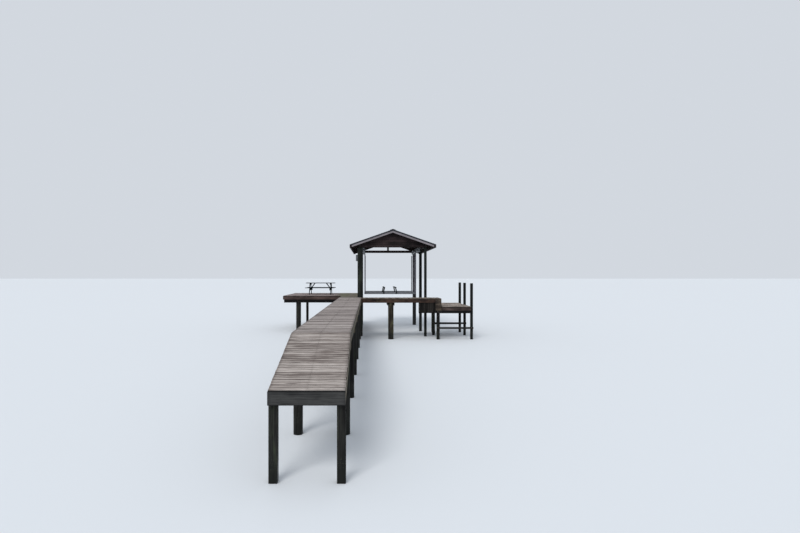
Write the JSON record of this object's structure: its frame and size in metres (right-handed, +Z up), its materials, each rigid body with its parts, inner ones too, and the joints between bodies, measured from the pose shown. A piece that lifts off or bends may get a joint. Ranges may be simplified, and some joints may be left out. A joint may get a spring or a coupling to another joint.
{
  "type": "wooden jetty with a roofed boat slip",
  "caption": "Timber jetty on round piles: sloping shore ramp, long plank walkway, side platform with a picnic table, lower boarding deck and a gable-roofed boat slip with a cable lift.",
  "frame": {"origin": "middle of the footprint, on the level where the piles meet the water", "axes": "+Y runs out from the shore along the walkway, +X is to its right looking out, +Z is up"},
  "size_m": [10.4604, 28.0253, 5.844],
  "materials": {
    "deck_boards": "weathered grey-brown planks",
    "ramp_boards": "weathered grey-brown planks, paler at the shore",
    "side_boards": "dark weathered joists and stringers",
    "header_board": "dark grey board across the shore end",
    "cross_boards": "weathered planks with a green tinge",
    "cross_rims": "dark brown boards with green growth",
    "platform_boards": "weathered planks, stained brown",
    "platform_rims": "dark red-brown boards",
    "lower_boards": "pale pinkish-grey planks",
    "lower_rims": "dark grey-brown boards",
    "beams_wet": "nearly black wet timber",
    "piles": "round tarred piles with a wet foot",
    "slip_posts": "round dark green-brown posts",
    "roof_frame": "dark brown sawn timber",
    "gable_wood": "dark brown horizontal boards",
    "roof_cover": "dark blue-grey shingles",
    "trim_boards": "weathered mauve-brown painted boards",
    "lift_metal": "dull grey metal",
    "guide_pipe": "pale grey pipe",
    "bunk_cover": "dark worn carpet",
    "bunk_timber": "dark wet timber",
    "cable": "stranded wire",
    "box_metal": "grey paint",
    "table_paint": "dark blue-grey painted timber"
  },
  "bodies": {
    "root": {"ramp_deck": "ramp_boards", "ramp_stringers": "side_boards", "shore_header": "header_board", "shore_posts": "piles", "walkway_deck": "deck_boards", "walkway_stringers": "side_boards", "walkway_caps": "side_boards", "walkway_piles": "piles", "crosswalk_deck": "cross_boards", "crosswalk_joists": "cross_rims", "crosswalk_cap": "cross_rims", "crosswalk_pile": "piles", "crosswalk_corner": "cross_rims", "platform_deck": "platform_boards", "platform_rim": "platform_rims", "platform_joists": "beams_wet", "platform_beams": "beams_wet", "platform_piles": "piles", "lower_deck": "lower_boards", "lower_rim": "lower_rims", "lower_beams": "beams_wet", "lower_piles": "piles", "mooring_posts": "piles", "lower_braces": "beams_wet", "slip_posts_left": "slip_posts", "slip_posts_right": "slip_posts", "eave_beams": "roof_frame", "tie_beams": "roof_frame", "king_posts": "roof_frame", "rafters": "roof_frame", "ridge_board": "roof_frame", "gable_boards": "gable_wood", "roof_left": "roof_cover", "roof_right": "roof_cover", "ridge_cap": "roof_cover", "rake_boards": "trim_boards", "eave_fascias": "trim_boards", "switch_box": "box_metal", "lift_hangers": "lift_metal", "drive_pipes": "lift_metal", "winches": "lift_metal", "lift_cables": "cable", "table_boards": "table_paint", "table_frames": "table_paint"},
    "cradle": {"cradle_beams": "lift_metal", "bunk_brackets": "bunk_timber", "bunks": "bunk_cover", "guide_poles": "guide_pipe"}
  },
  "joints": [
    {"name": "cradle_lift", "type": "slide", "parent": "root", "child": "cradle", "axis": [0, 0, 1], "range_m": [-2.1, 0], "deforming": ["lift_cables"]}
  ]
}
